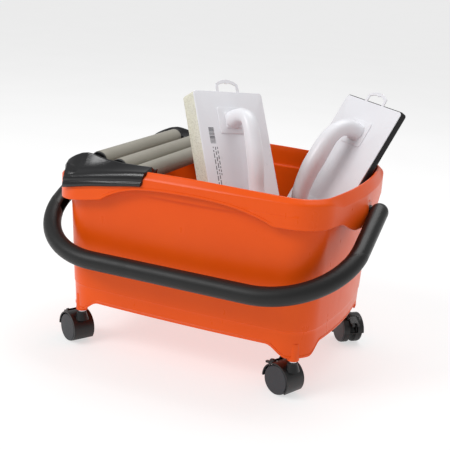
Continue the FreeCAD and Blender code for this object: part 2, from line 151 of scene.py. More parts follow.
def placedIn(local, place, axes):
    # points in a local frame moved to a place, with the frame's three axes as rows
    return np.asarray(place, float) + np.asarray(local, float) @ np.asarray(axes, float)


def slabPart(halfX, halfY, corner, zLow, zHigh, edge, place, axes, middle, steps=4):
    # rounded slab: rounded rectangle rings whose inset follows a quarter circle at the top and bottom edges
    bend = np.linspace(0, math.pi / 2, steps + 1)
    inset = np.concatenate([edge * (1 - np.sin(bend)), edge * (1 - np.cos(bend))])
    z = np.concatenate([zLow + edge * (1 - np.cos(bend)), zHigh - edge * (1 - np.sin(bend))])
    ring = roundedRing(halfX - inset, halfY - inset, np.maximum(corner - inset, 0.05))
    ring = ring + np.asarray(middle, float)
    points = np.concatenate([ring, np.broadcast_to(z[:, None, None], ring.shape[:2] + (1,))], -1)
    return gridPart(placedIn(points, place, axes), capLow=True, capHigh=True)


class Value:
    # one shader socket that can be added, multiplied and compared like a number
    def __init__(self, finish, socket):
        self.finish = finish
        self.socket = socket

    def maths(self, kind, first, second=0.0, clamp=False):
        made = self.finish.node("ShaderNodeMath", {"operation": kind, "use_clamp": clamp},
                                {0: first, 1: second})
        return Value(self.finish, made.outputs[0])

    def __add__(self, other):
        return self.maths("ADD", self, other)

    def __radd__(self, other):
        return self.maths("ADD", other, self)

    def __sub__(self, other):
        return self.maths("SUBTRACT", self, other)

    def __rsub__(self, other):
        return self.maths("SUBTRACT", other, self)

    def __mul__(self, other):
        return self.maths("MULTIPLY", self, other)

    def __rmul__(self, other):
        return self.maths("MULTIPLY", other, self)

    def clamped(self):
        return self.maths("ADD", self, 0.0, True)

    def over(self, edge, width):
        # 0 below the edge, 1 from edge + width upwards
        return self.maths("MULTIPLY", self - edge, 1.0 / width, True)


class Finish:
    # one material and its node tree
    def __init__(self, name):
        self.material = bpy.data.materials.new(name)
        self.material.use_nodes = True
        self.tree = self.material.node_tree
        self.tree.nodes.clear()
        self.surface = self.node("ShaderNodeBsdfPrincipled")
        output = self.node("ShaderNodeOutputMaterial")
        self.tree.links.new(self.surface.outputs[0], output.inputs["Surface"])
        self.place = self.node("ShaderNodeTexCoord").outputs["Object"]

    def node(self, kind, settings=None, inputs=None):
        made = self.tree.nodes.new(kind)
        for name, value in (settings or {}).items():
            setattr(made, name, value)
        for name, value in (inputs or {}).items():
            self.plug(made.inputs[name], value)
        return made

    def plug(self, socket, value):
        if isinstance(value, Value):
            self.tree.links.new(value.socket, socket)
        elif isinstance(value, bpy.types.NodeSocket):
            self.tree.links.new(value, socket)
        else:
            socket.default_value = value

    def stretched(self, scale):
        made = self.node("ShaderNodeVectorMath", {"operation": "MULTIPLY"}, {0: self.place, 1: scale})
        return made.outputs[0]

    def noise(self, scale, detail=2.0, roughness=0.5, vector=None):
        made = self.node("ShaderNodeTexNoise", None, {"Vector": vector or self.place, "Scale": scale,
                                                      "Detail": detail, "Roughness": roughness})
        return Value(self, made.outputs[0])

    def cells(self, scale):
        made = self.node("ShaderNodeTexVoronoi", {"feature": "F1"},
                         {"Vector": self.place, "Scale": scale, "Randomness": 1.0})
        return Value(self, made.outputs["Distance"])

    def blended(self, first, second, factor):
        # colours: first where the factor is 0, second where it is 1
        made = self.node("ShaderNodeMix", {"data_type": "RGBA", "blend_type": "MIX"})
        self.plug(made.inputs[0], factor)
        self.plug(made.inputs[6], first)
        self.plug(made.inputs[7], second)
        return made.outputs[2]

    def bumped(self, value, strength, distance):
        made = self.node("ShaderNodeBump", None,
                         {"Height": value, "Strength": strength, "Distance": distance})
        return made.outputs[0]

    def set(self, **inputs):
        for name, value in inputs.items():
            self.plug(self.surface.inputs[name.replace("_", " ")], value)
        return self.material


def colour(red, green, blue):
    # screen colour, 0 to 255, as the linear colour of a shader socket
    share = np.array([red, green, blue]) / 255.0
    linear = np.where(share <= 0.04045, share / 12.92, ((share + 0.055) / 1.055) ** 2.4)
    return (float(linear[0]), float(linear[1]), float(linear[2]), 1.0)


def mouldedPlastic(name, light, dark, roughness, grain, specular=0.5, wave=0.0):
    # tone drifts from dark to light and roughness drifts with a smear;
    # height = fine noise * grain + slow noise * wave
    finish = Finish(name)
    drift = finish.noise(9.0, 3.0, 0.55)
    fine = finish.noise(900.0, 2.0, 0.6)
    smear = finish.noise(38.0, 4.0, 0.65, finish.stretched((1.0, 1.0, 0.35)))
    tone = finish.blended(dark, light, (drift * 1.4 - 0.2).clamped())
    finish.set(Base_Color=tone, Specular_IOR_Level=specular,
               Roughness=(smear * 0.16 + (roughness - 0.08)).clamped())
    relief = fine * grain + finish.noise(6.0, 1.0, 0.4) * wave
    return finish.set(Normal=finish.bumped(relief, 0.35, 0.0004))


def brightSteel(name):
    # turned steel: fine rings of tone, roughness and bump along the height
    finish = Finish(name)
    rings = finish.noise(60.0, 3.0, 0.6, finish.stretched((1.0, 1.0, 40.0)))
    tone = finish.blended(colour(196, 198, 202), colour(228, 229, 232), rings)
    return finish.set(Base_Color=tone, Metallic=1.0, Roughness=rings * 0.2 + 0.12,
                      Normal=finish.bumped(rings, 0.12, 0.0002))


def foam(name):
    # open-celled foam: two sizes of pores dent the surface, and painted shade darkens them
    finish = Finish(name)
    large = finish.cells(420.0)
    small = finish.cells(1100.0)
    poreDentAndShade = (1.0 - large.over(0.16, 0.3)) * 0.7 + (1.0 - small.over(0.18, 0.3)) * 0.5
    # the darker tone in the pores is painted shade in their hollows; the same mask gives the dent in the bump
    # below
    tone = finish.blended(colour(232, 231, 218), colour(172, 168, 150), poreDentAndShade.clamped())
    patch = finish.noise(26.0, 3.0, 0.6)
    tone = finish.blended(tone, colour(224, 219, 190), (patch - 0.35).clamped())
    return finish.set(Base_Color=tone, Roughness=0.95 - patch * 0.1, Specular_IOR_Level=0.15,
                      Normal=finish.bumped(1.0 - poreDentAndShade, 0.7, 0.0008))


def cellRubber(name):
    # dense rubber: a dull skin with fine cells and paler scuffs
    finish = Finish(name)
    cell = finish.cells(1500.0)
    scuff = finish.noise(55.0, 5.0, 0.7)
    tone = finish.blended(colour(22, 22, 23), colour(46, 46, 47), (scuff * 1.3 - 0.25).clamped())
    return finish.set(Base_Color=tone, Roughness=(scuff * 0.25 + 0.62).clamped(), Specular_IOR_Level=0.3,
                      Normal=finish.bumped(cell, 0.3, 0.0003))


orangePlastic = mouldedPlastic("tubOrange", colour(236, 88, 12), colour(228, 80, 8), 0.3, 0.4, 0.22, 1.0)
blackPlastic = mouldedPlastic("handleBlack", colour(22, 23, 23), colour(15, 16, 16), 0.36, 1.0, 0.45)
gripRubber = mouldedPlastic("gripBlack", colour(20, 20, 20), colour(13, 14, 14), 0.46, 1.6, 0.4)
glossBlack = mouldedPlastic("bracketBlack", colour(16, 16, 19), colour(11, 11, 13), 0.22, 0.7, 0.5)
rollerGrey = mouldedPlastic("rollerGrey", colour(158, 154, 143), colour(146, 142, 130), 0.42, 0.9, 0.4)
casterBlack = mouldedPlastic("casterBlack", colour(20, 21, 22), colour(14, 15, 16), 0.36, 0.8, 0.45)
wheelBlack = mouldedPlastic("wheelBlack", colour(18, 18, 19), colour(12, 12, 13), 0.5, 1.2, 0.4)
discGrey = mouldedPlastic("discGrey", colour(52, 53, 57), colour(44, 45, 49), 0.48, 1.3, 0.4)
whitePlastic = mouldedPlastic("floatWhite", colour(236, 236, 240), colour(226, 226, 231), 0.3, 0.5, 0.5, 0.8)
steel = brightSteel("brightSteel")
sponge = foam("spongeCream")
padRubber = cellRubber("rubberBlack")
print("materials made")


tubSizes = {
    "wall": 3.0, "foot": 67.0, "skirt": 86.6, "lowHalf": (232.0, 163.3), "highHalf": (240.5, 172.6),
    "bodyCorner": 55.0, "floor": 100.0, "ledge": 299.0, "collarFoot": 287.0, "collarHalf": (254.0, 188.0),
    "collarCorner": 61.0, "shoulder": 325.0, "sideShoulder": 315.5, "rim": 332.0, "rimHalf": (246.0, 179.0),
    "rimCorner": 51.0, "mouthInset": 3.0, "longBow": 3460.0, "shortBow": 710.0,
    "footFrom": (155.0, 98.0), "footRun": (37.0, 30.0),
    "archRise": 23.0, "archMiddle": 10.0, "archHalf": 150.0,
    "beadHeight": 4.6, "beadProud": 1.1, "stepHeight": 305.0, "stepProud": 0.7, "crown": 4.0,
    "earDrop": 21.0, "noseProud": 6.0, "noseMiddle": -16.0, "noseFall": (36.0, 17.0),
    "endDip": 21.0, "dipFrom": -70.0, "dipRun": 170.0,
    "bossAt": (197.0, 141.0), "bossFoot": 62.0, "pivot": (248.2, 287.0),
}


def planLoop(longSteps=44, cornerSteps=26, shortSteps=34):
    # the four quarters of the outline: which of its three arcs a column lies on, how far along, and the signs
    section = np.concatenate([np.zeros(longSteps), np.ones(cornerSteps), np.full(shortSteps + 1, 2.0)])
    share = np.concatenate([np.arange(longSteps) / longSteps, np.arange(cornerSteps) / cornerSteps,
                            np.linspace(0, 1, shortSteps + 1)])
    quarters = []
    for signX, signY, forward in ((1, -1, True), (1, 1, False), (-1, 1, True), (-1, -1, False)):
        s, t = (section[:-1], share[:-1]) if forward else (section[:0:-1], share[:0:-1])
        quarters.append(np.stack([s, t, np.full(len(s), signX), np.full(len(s), signY)]))
    return np.concatenate(quarters, 1)


def planPoints(halfX, halfY, cornerR, loop):
    # outline of four bowed sides joined by tangent corner arcs; the sizes are arrays of rows x columns
    section, share, signX, signY = loop
    longBow = tubSizes["longBow"]
    shortBow = tubSizes["shortBow"]
    toLong = longBow - cornerR
    toShort = shortBow - cornerR
    shortX = halfX - shortBow
    longY = halfY - longBow
    span = np.hypot(shortX, longY)
    along = (toLong ** 2 - toShort ** 2 + span ** 2) / (2 * span)
    off = np.sqrt(toLong ** 2 - along ** 2)
    ux = shortX / span
    uy = -longY / span
    centreX = ux * along + uy * off
    centreY = longY + uy * along - ux * off
    longTurn = np.arctan2(centreX, centreY - longY)
    shortTurn = np.arctan2(centreY, centreX - shortX)
    a = longTurn * share
    b = longTurn + (math.pi / 2 - shortTurn - longTurn) * share
    c = shortTurn * (1 - share)
    x = np.select([section == 0, section == 1], [longBow * np.sin(a), centreX + cornerR * np.sin(b)],
                  shortX + shortBow * np.cos(c))
    y = np.select([section == 0, section == 1], [longY + longBow * np.cos(a), centreY + cornerR * np.cos(b)],
                  shortBow * np.sin(c))
    return x * signX, y * signY


def bodyHalf(z):
    # body outline at a height: both half sizes grow steadily with height
    share = (z - tubSizes["skirt"]) / (tubSizes["collarFoot"] - tubSizes["skirt"])
    return (mixed(tubSizes["lowHalf"][0], tubSizes["highHalf"][0], share),
            mixed(tubSizes["lowHalf"][1], tubSizes["highHalf"][1], share))


loop = planLoop()
ones = np.ones(loop.shape[1])
lowX, lowY = planPoints(ones * tubSizes["lowHalf"][0], ones * tubSizes["lowHalf"][1],
                        ones * tubSizes["bodyCorner"], loop)
outX, outY = planPoints(ones * tubSizes["collarHalf"][0], ones * tubSizes["collarHalf"][1],
                        ones * tubSizes["collarCorner"], loop)

# heights that change round the outline: lower edge with its feet, collar edge with its arch, and shoulder
footX, footY = (softStep((np.abs(along) - start) / run) for along, start, run in
                zip((lowX, lowY), tubSizes["footFrom"], tubSizes["footRun"]))
footShare = np.minimum(footX, footY)
edgeZ = tubSizes["skirt"] - (tubSizes["skirt"] - tubSizes["foot"]) * footShare
onSide = softStep((np.abs(outX) - 218) / 26) * softStep((156 - np.abs(outY)) / 50)
archShare = np.clip(np.abs(outX - tubSizes["archMiddle"]) / tubSizes["archHalf"], 0, 1)
onLong = (np.abs(outY) > 150).astype(float)
arch = onLong * (1 - archShare ** 2.6) * tubSizes["archRise"]
flare = onLong * np.exp(-((archShare - 1) * tubSizes["archHalf"] / 9) ** 2)
ear = softStep((118 - np.abs(outY)) / 66) * (np.abs(outX) > 200)
collarZ = tubSizes["collarFoot"] + arch - flare - tubSizes["earDrop"] * ear
beadShare = onLong * softStep((1 - archShare) / 0.1)
shoulderZ = mixed(tubSizes["shoulder"], tubSizes["sideShoulder"], onSide)
crownZ = tubSizes["crown"] * (np.abs(outY) > 120) * softStep(1 - np.abs(outX) / 215)
belowStep = softStep((tubSizes["stepHeight"] - collarZ - 1) / 8)
stepShare = onLong * belowStep * softStep((208 - np.abs(outX)) / 30)


def tubRings():
    # rings from the middle of the underside, out and up the body, and down the back of the collar
    rings = []

    def ring(half, cornerR, z, grow=0.0):
        rings.append([ones * half[0] + grow, ones * half[1] + grow, ones * cornerR, ones * z])

    wall = tubSizes["wall"]
    body = tubSizes["bodyCorner"]
    under = tubSizes["floor"] - wall
    inside = bodyHalf(under)
    for share in (0.25, 0.5, 0.75, 0.93):
        ring((inside[0] * share, inside[1] * share), body * share, under)
    ring(inside, body - wall, under, -wall - 1.5)
    ring(inside, body - wall, under - 1.5, -wall)
    for share in (0.4, 0.8):
        z = mixed(under - 1.5, edgeZ + 0.8, share)
        ring(bodyHalf(z), body - wall, z, -wall)
    ring(bodyHalf(edgeZ), body - wall, edgeZ + 0.4, -wall)
    ring(bodyHalf(edgeZ), body - wall, edgeZ, -wall + 0.5)
    ring(bodyHalf(edgeZ), body, edgeZ, -0.5)
    ring(bodyHalf(edgeZ), body, edgeZ + 0.5, 0.0)
    # a fine bead runs above the lower edge, and a faint step higher up
    for rise, grow in ((2.6, 0.0), (3.2, 0.5), (3.9, 0.85), (4.6, 0.5), (5.2, 0.0), (8.0, 0.0)):
        z = edgeZ + rise
        ring(bodyHalf(z), body, z, grow)
    lastZ = edgeZ + 8.0
    for z, grow in ((99.0, 0.0), (106.0, 0.0), (112.3, 0.0), (113.0, 0.35), (113.8, 0.9), (118.0, 0.9)):
        z = np.maximum(z, lastZ + 0.2)
        ring(bodyHalf(z), body, z, grow)
        lastZ = z
    for z in np.linspace(135, 285, 11):
        ring(bodyHalf(z), body, z, mixed(0.9, 0.0, (z - 118) / 170))
    ring(bodyHalf(296.0), body, 296.0)
    # behind the collar, up to the underside of the lip and down the collar's inner face
    ring(tubSizes["rimHalf"], tubSizes["rimCorner"], 297.0, -0.5)
    ring(tubSizes["rimHalf"], tubSizes["rimCorner"], shoulderZ - 4.0, 0.0)
    ring(tubSizes["collarHalf"], tubSizes["collarCorner"] - wall, shoulderZ - 4.5, -wall - 1.0)
    for share in (0.1, 0.5, 1.0):
        z = mixed(shoulderZ - 5.5, collarZ + 0.8, share)
        ring(tubSizes["collarHalf"], tubSizes["collarCorner"] - wall, z, -wall)
    return rings


def collarRings():
    # the collar's outer face: a rounded bead on the arch, a low step, the shoulder and the sloping lip
    rings = []
    corner = tubSizes["collarCorner"]
    half = tubSizes["collarHalf"]
    proud = tubSizes["beadProud"] * beadShare
    step = tubSizes["stepProud"] * stepShare
    bead = tubSizes["beadHeight"]

    def ring(grow, z, share=0.0, cornerR=corner):
        base = (mixed(half[0], tubSizes["rimHalf"][0], share), mixed(half[1], tubSizes["rimHalf"][1], share))
        rings.append([ones * base[0] + grow, ones * base[1] + grow, ones * cornerR, ones * z])

    ring(-2.4, collarZ)
    ring(-0.8 + proud * 0.3, collarZ - 0.1)
    ring(proud * 0.7 + step, collarZ + 0.5)
    ring(proud + step, collarZ + bead * 0.35)
    ring(proud + step, collarZ + bead * 0.65)
    ring(proud * 0.75 + step, collarZ + bead * 0.88)
    ring(step, collarZ + bead)
    top = np.maximum(tubSizes["stepHeight"], collarZ + bead + 1.2)
    for share in (0.2, 0.4, 0.6, 0.8, 0.97):
        ring(step, mixed(collarZ + bead, top - 0.6, share))
    ring(step, top - 0.3)
    ring(step * 0.75, top + 0.15)
    ring(step * 0.1, top + 0.5)
    for share in (0.25, 0.5, 0.75):
        ring(0.0, mixed(top + 0.5, shoulderZ - 1.6, share))
    ring(0.0, shoulderZ - 1.6)
    ring(-0.12, shoulderZ - 0.7)
    ring(-0.55, shoulderZ + 0.05)
    rise = tubSizes["rim"] + crownZ - shoulderZ
    for share in (0.16, 0.3, 0.5, 0.7, 0.85, 0.93):
        ring(0.0, shoulderZ + rise * share, share, mixed(corner, tubSizes["rimCorner"], share))
    top = tubSizes["rim"] + crownZ
    rimCorner = tubSizes["rimCorner"]
    ring(0.0, top - 0.35, 1.0, rimCorner)
    ring(-0.6, top, 1.0, rimCorner)
    ring(-2.0, top, 1.0, rimCorner)
    ring(-2.75, top - 0.3, 1.0, rimCorner - 2.5)
    ring(-tubSizes["mouthInset"], top - 1.0, 1.0, rimCorner - tubSizes["mouthInset"])
    return rings


def innerRings():
    # down the inside: the straight mouth, the ledge, the tapering wall, and the floor with a rounded joint
    rings = []
    wall = tubSizes["wall"]
    body = tubSizes["bodyCorner"]

    def ring(half, cornerR, z, grow):
        rings.append([ones * half[0] + grow, ones * half[1] + grow, ones * cornerR, ones * z])

    ledge = tubSizes["ledge"]
    for rise in (23.0, 13.0, 5.0, 1.5):
        ring(tubSizes["rimHalf"], tubSizes["rimCorner"] - wall, ledge + rise, -wall)
    ring(tubSizes["rimHalf"], tubSizes["rimCorner"] - wall, ledge + 0.4, -wall - 0.6)
    ring(bodyHalf(ledge), body - wall, ledge, -wall + 1.0)
    ring(bodyHalf(ledge - 0.5), body - wall, ledge - 0.7, -wall + 0.1)
    for z in np.linspace(292, 116, 12):
        ring(bodyHalf(z), body - wall, z, -wall)
    floorZ = tubSizes["floor"]
    for turn in np.linspace(0.15, math.pi / 2, 6):
        z = floorZ + 12 * (1 - math.sin(turn))
        ring(bodyHalf(z), body - wall - 12 * (1 - math.cos(turn)), z, -wall - 12 * (1 - math.cos(turn)))
    inside = bodyHalf(floorZ)
    for share in (0.85, 0.6, 0.3):
        ring((inside[0] * share, inside[1] * share), body * share, floorZ, -wall)
    return rings


def tubShell():
    # each ring is the bowed outline at its own half sizes, corner and height; the rings are joined in order
    outer = tubRings()
    face = collarRings()
    inner = innerRings()
    halfX, halfY, cornerR, z = np.array(outer + face + inner).transpose(1, 0, 2)
    x, y = planPoints(halfX, halfY, np.maximum(cornerR, 4.0), loop)
    # the short sides swell towards the pivot: a bell along Y that falls faster on its far side, faded above
    rows = np.arange(len(z))[:, None]
    onFace = (rows >= len(outer)) & (rows < len(outer) + len(face))
    fall = np.where(y < tubSizes["noseMiddle"], *tubSizes["noseFall"])
    bell = np.exp(-((y - tubSizes["noseMiddle"]) / fall) ** 2) * softStep((318 - z) / 26)
    swell = tubSizes["noseProud"] * bell * onFace * (np.abs(x) > 225)
    # the rim and collar dip towards the roller end; the dip fades out down the wall
    toEnd = softStep((tubSizes["dipFrom"] - x) / tubSizes["dipRun"])
    dip = tubSizes["endDip"] * toEnd * softStep((z - 245) / 40)
    return gridPart(np.stack([x + np.sign(x) * swell, y, z - dip], -1), capLow=True, capHigh=True)


def footBosses():
    # a stub tube under each corner, turned about the upright line of its caster
    x, y = tubSizes["bossAt"]
    profile = [(0, 7.0), (0, 9.2), (0.8, 10.0), (30, 10.0)]
    return [revolvedPart(profile, (signX * x, signY * y, tubSizes["bossFoot"]), (0, 0, 1), 48)
            for signX in (-1, 1) for signY in (-1, 1)]


def pivotBosses():
    # a low round boss on each short side, turned about the bail's pivot line
    x, z = tubSizes["pivot"]
    profile = [(-14, 16.0), (2, 16.0), (3.0, 17.5), (7.5, 17.5), (8.6, 16.6), (8.8, 15.5), (8.8, 9.0),
               (7.4, 8.4)]
    return [revolvedPart(profile, (sign * x, 0, z), (sign, 0, 0), 64) for sign in (-1, 1)]


addPiece("tubShell", [tubShell()] + footBosses() + pivotBosses(), orangePlastic, "tub",
         ["tub"], 32)
print("tub made")


bailSizes = {"pivotZ": 287.0, "armX": 274.0, "radius": 15.0, "reach": 235.0, "bend": 137.0, "droop": 26.5,
             "earX": 261.0, "grooveHalf": 9.0, "grooveFloor": -10.5, "grooveFrom": 24.0, "grooveTo": 238.0,
             "seam": ((-191.0, 190.0), (-106.0, 262.0)), "gripRadius": 15.35,
             "rows": (26, 45, 15), "domeRows": 8}
droop = math.radians(bailSizes["droop"])
armWay = np.array([0.0, -math.cos(droop), -math.sin(droop)])
bailNormal = np.array([0.0, math.sin(droop), -math.cos(droop)])


def bailPlace(x, reach, off):
    # a point of the bail: base + across * x + arm direction * reach + plane's normal * off
    base = np.array([0.0, 0.0, bailSizes["pivotZ"]])
    x, reach, off = np.broadcast_arrays(x, reach, off)
    across = np.array([1.0, 0, 0])
    return base + x[..., None] * across + reach[..., None] * armWay + off[..., None] * bailNormal


def bailLine(turn):
    # centre line round the bend at an angle from the arm: a quarter circle that ends in the cross bar;
    # gives x, reach and the direction that points inwards
    a = bailSizes["armX"]
    bend = bailSizes["bend"]
    startReach = bailSizes["reach"] - bend
    x = -(a - bend) - bend * np.cos(turn)
    reach = startReach + bend * np.sin(turn)
    return x, reach, np.cos(turn), -np.sin(turn)


def bailStations():
    # half of the bail from the left pivot to the middle, as centre points with their inward directions
    armRows, bendRows, barRows = bailSizes["rows"]
    arm = bailSizes["reach"] - bailSizes["bend"]
    armReach = np.linspace(0, arm, armRows)
    turn = np.linspace(0, math.pi / 2, bendRows + 1)[1:]
    middle = np.linspace(0, bailSizes["armX"] - bailSizes["bend"], barRows + 1)[1:]
    bendX, bendReach, inX, inReach = bailLine(turn)
    x = np.concatenate([np.full(armRows, -bailSizes["armX"]), bendX, bendX[-1] + middle])
    reach = np.concatenate([armReach, bendReach, np.full(barRows, bailSizes["reach"])])
    inX = np.concatenate([np.ones(armRows), inX, np.zeros(barRows)])
    inReach = np.concatenate([np.zeros(armRows), inReach, -np.ones(barRows)])
    along = np.concatenate([armReach, arm + turn * bailSizes["bend"],
                            arm + math.pi / 2 * bailSizes["bend"] + middle])
    return x, reach, inX, inReach, along


def channelSection(share, radius):
    # section in (inward, off-plane) axes: a circle where the share is 0 and a C open inwards where it is 1
    half = bailSizes["grooveHalf"]
    mouth = math.asin(half / bailSizes["radius"])
    turn = np.concatenate([np.linspace(mouth, 2 * math.pi - mouth, 44),
                           np.linspace(-mouth, mouth, 24)[1:-1]])
    u = np.cos(turn)[None] * radius[:, None]
    v = np.sin(turn)[None] * radius[:, None]
    t = np.linspace(-1, 1, 24)[1:-1]
    # the groove: straight cheeks and a rounded floor
    floor = bailSizes["grooveFloor"]
    edge = bailSizes["radius"] * math.cos(mouth)
    cheek = np.clip((1 - np.abs(t)) / 0.55, 0, 1)
    grooveU = mixed(edge - 0.2, floor, cheek ** 0.8)
    grooveV = np.sign(t) * mixed(half - 0.4, half * np.minimum(1, np.abs(t) / 0.45) - 0.8, cheek)
    u[:, 44:] = mixed(u[:, 44:], grooveU[None], share[:, None])
    v[:, 44:] = mixed(v[:, 44:], grooveV[None], share[:, None])
    return u, v


def bailTube():
    # the channel section carried along the centre line, mirrored at the middle of the cross bar
    x, reach, inX, inReach, along = bailStations()
    x = np.concatenate([x, -x[-2::-1]])
    reach = np.concatenate([reach, reach[-2::-1]])
    inX = np.concatenate([inX, -inX[-2::-1]])
    inReach = np.concatenate([inReach, inReach[-2::-1]])
    along = np.concatenate([along, along[-2::-1]])
    # domed ends: rows that run past the pivot with a radius that closes as a quarter circle
    rows = bailSizes["domeRows"]
    turn = np.linspace(math.pi / 2, 0, rows + 1)[:-1]
    extra = -bailSizes["radius"] * np.sin(turn)
    x = np.concatenate([np.full(rows, x[0]), x, np.full(rows, x[-1])])
    reach = np.concatenate([extra, reach, extra[::-1]])
    inX = np.concatenate([np.full(rows, inX[0]), inX, np.full(rows, inX[-1])])
    inReach = np.concatenate([np.zeros(rows), inReach, np.zeros(rows)])
    share = softStep((along - bailSizes["grooveFrom"]) / 6) * softStep((bailSizes["grooveTo"] - along) / 60)
    share = np.concatenate([np.zeros(rows), share, np.zeros(rows)])
    closing = np.concatenate([np.cos(turn), np.ones(len(along)), np.cos(turn[::-1])])
    radius = closing * bailSizes["radius"] + 0.01
    u, v = channelSection(share, radius)
    acrossX = x[:, None] + inX[:, None] * u
    along2 = reach[:, None] + inReach[:, None] * u
    # the inner side of each arm end is flat against its pivot
    flat = softStep((26 - np.abs(along2)) / 5)
    acrossX = np.sign(acrossX) * np.maximum(np.abs(acrossX), bailSizes["earX"] * flat)
    return gridPart(bailPlace(acrossX, along2, v), capLow=True, capHigh=True)


def gripCover():
    # a sleeve over the cross bar whose two ends follow a slanting line, so each column ends at its own angle
    radius = bailSizes["gripRadius"]
    around = 56
    section = np.linspace(0, 2 * math.pi, around, endpoint=False)
    (ax, ar), (bx, br) = bailSizes["seam"]
    centre = np.array([-(bailSizes["armX"] - bailSizes["bend"]), bailSizes["reach"] - bailSizes["bend"]])
    way = unit(np.array([bx - ax, br - ar]))
    toLine = np.array([ax, ar]) - centre
    foot = toLine - way * (toLine @ way)
    gap = np.linalg.norm(foot)
    # rows: share of the way to the cross bar, distance past the seam, and change of radius
    rows = [(0.0, 0.0, -2.2), (0.0, 0.05, -0.9), (0.0, 0.5, -0.25), (0.0, 1.2, 0.0)]
    rows += [(share, 1.2, 0.0) for share in np.linspace(0.0, 1.0, 30)[1:]]
    half = []
    for share, back, shrink in rows:
        u = (radius + shrink) * np.cos(section)
        v = (radius + shrink) * np.sin(section)
        bendRadius = bailSizes["bend"] - u
        chord = np.sqrt(np.maximum(bendRadius ** 2 - gap ** 2, 0))
        meet = foot[None] + way[None] * -chord[:, None]
        first = np.arctan2(meet[:, 1], -meet[:, 0])
        first = np.where(meet[:, 0] > 0, math.pi - first, first) + back / bailSizes["bend"]
        turn = mixed(first, math.pi / 2, share)
        x, reach, inX, inReach = bailLine(turn)
        half.append(bailPlace(x + inX * u, reach + inReach * u, v))
    left = np.array(half)
    right = left[::-1].copy()
    right[..., 0] *= -1
    span = np.linspace(0, 1, 14)[1:-1]
    bar = mixed(left[-1][None], right[0][None], span[:, None, None])
    return gridPart(np.concatenate([left, bar, right]), capLow=True, capHigh=True)


addPiece("bailFrame", [bailTube()], blackPlastic, "bail", ["bail"], 40)
addPiece("gripCover", [gripCover()], gripRubber, "bail", ["bail_grip"], 40)
print("bail made")


rollerSizes = {"radius": 15.0, "bore": 12.0, "half": 134.5, "flange": 3.5,
               "axes": ((-173, 331), (-134, 324), (-99.5, 317))}


def rollerTube(x, z):
    # a tube turned about its axle, with rounded outer edges
    half = rollerSizes["half"]
    outer = rollerSizes["radius"]
    bore = rollerSizes["bore"]
    profile = [(-half, bore), (-half, outer - 0.7), (-half + 0.2, outer - 0.2), (-half + 0.8, outer)]
    profile += [(k, outer) for k in np.linspace(-half + 20, half - 20, 9)]
    profile += [(half - 0.8, outer), (half - 0.2, outer - 0.2), (half, outer - 0.7), (half, bore), (0, bore)]
    return revolvedPart(profile, (x, 0, z), (0, 1, 0), 72, closed=True)


def rollerCap(x, z, side):
    # a flange with a rounded rim and a dished face round the axle
    start = rollerSizes["half"]
    face = start + rollerSizes["flange"]
    profile = [(start - 6, 4.6), (start - 6, 11.9), (start + 0.02, 11.9), (start + 0.02, 13.6),
               (start + 0.5, 14.4), (face - 0.9, 14.4), (face - 0.3, 14.0), (face, 13.2), (face, 12.2),
               (face - 1.1, 11.4), (face - 1.3, 8.0), (face - 0.1, 7.2), (face, 6.6), (face, 4.6)]
    return revolvedPart(profile, (x, 0, z), (0, side, 0), 64, closed=True)


for number, (x, z) in enumerate(rollerSizes["axes"], 1):
    body = f"roller_{number}"
    caps = [rollerCap(x, z, -1), rollerCap(x, z, 1)]
    addPiece(f"rollerTube{number}", [rollerTube(x, z)], rollerGrey, body,
             [f"roller_tube_{number}"])
    addPiece(f"rollerCaps{number}", caps, casterBlack, body, [f"roller_end_caps_{number}"])
print("rollers made")


# Each bracket is one skin lofted along X: a flap on the collar with a rolled lower edge and a groove,
# a face that leans in and sweeps up to a ridge beside the rollers, and an inner cheek for the axles.
bracketSizes = {
    "from": -216.0, "to": -61.0, "stations": 64, "gap": 0.5, "swell": 4.6, "cheekY": 140.2, "deck": 334.0,
    "collarY": 188.0, "collarBow": 3460.0, "collarTurn": (193.5, 121.6), "collarRadius": 61.0,
    "lowEdge": ((-216, -200, -180, -160, -138, -115, -90, -61), (286.5, 290, 294, 298, 301.5, 305, 309, 313)),
    "ridge": ((-216, -208, -200, -190, -180, -170, -158, -140, -115, -85, -61),
              (325, 332, 338, 344.0, 346.5, 346.0, 343.5, 341.0, 339.5, 340.0, 341.0)),
    "ridgeY": ((-216, -200, -180, -140, -61), (150, 156, 160, 163, 166)),
    "groove": ((0, 1), (11.5, 8.5)), "shelf": ((0, 0.25, 0.6, 1), (10.0, 9.0, 4.0, 3.0)),
    "hub": ((138.9, 4.05), (138.9, 8.6), (139.4, 9.0), (143.0, 9.4), (143.0, 4.05)),
}


def collarFace(x):
    # distance of the flap's back from the middle plane: a long bow, then an arc about the corner
    bow = bracketSizes["collarBow"]
    turnX, turnY = bracketSizes["collarTurn"]
    radius = bracketSizes["collarRadius"]
    long = bracketSizes["collarY"] - bow + np.sqrt(bow ** 2 - x ** 2)
    reach = np.clip(np.abs(x) - turnX, 0, radius - 0.5)
    return np.where(np.abs(x) < turnX, long, turnY + np.sqrt(np.maximum(radius ** 2 - reach ** 2, 0)))


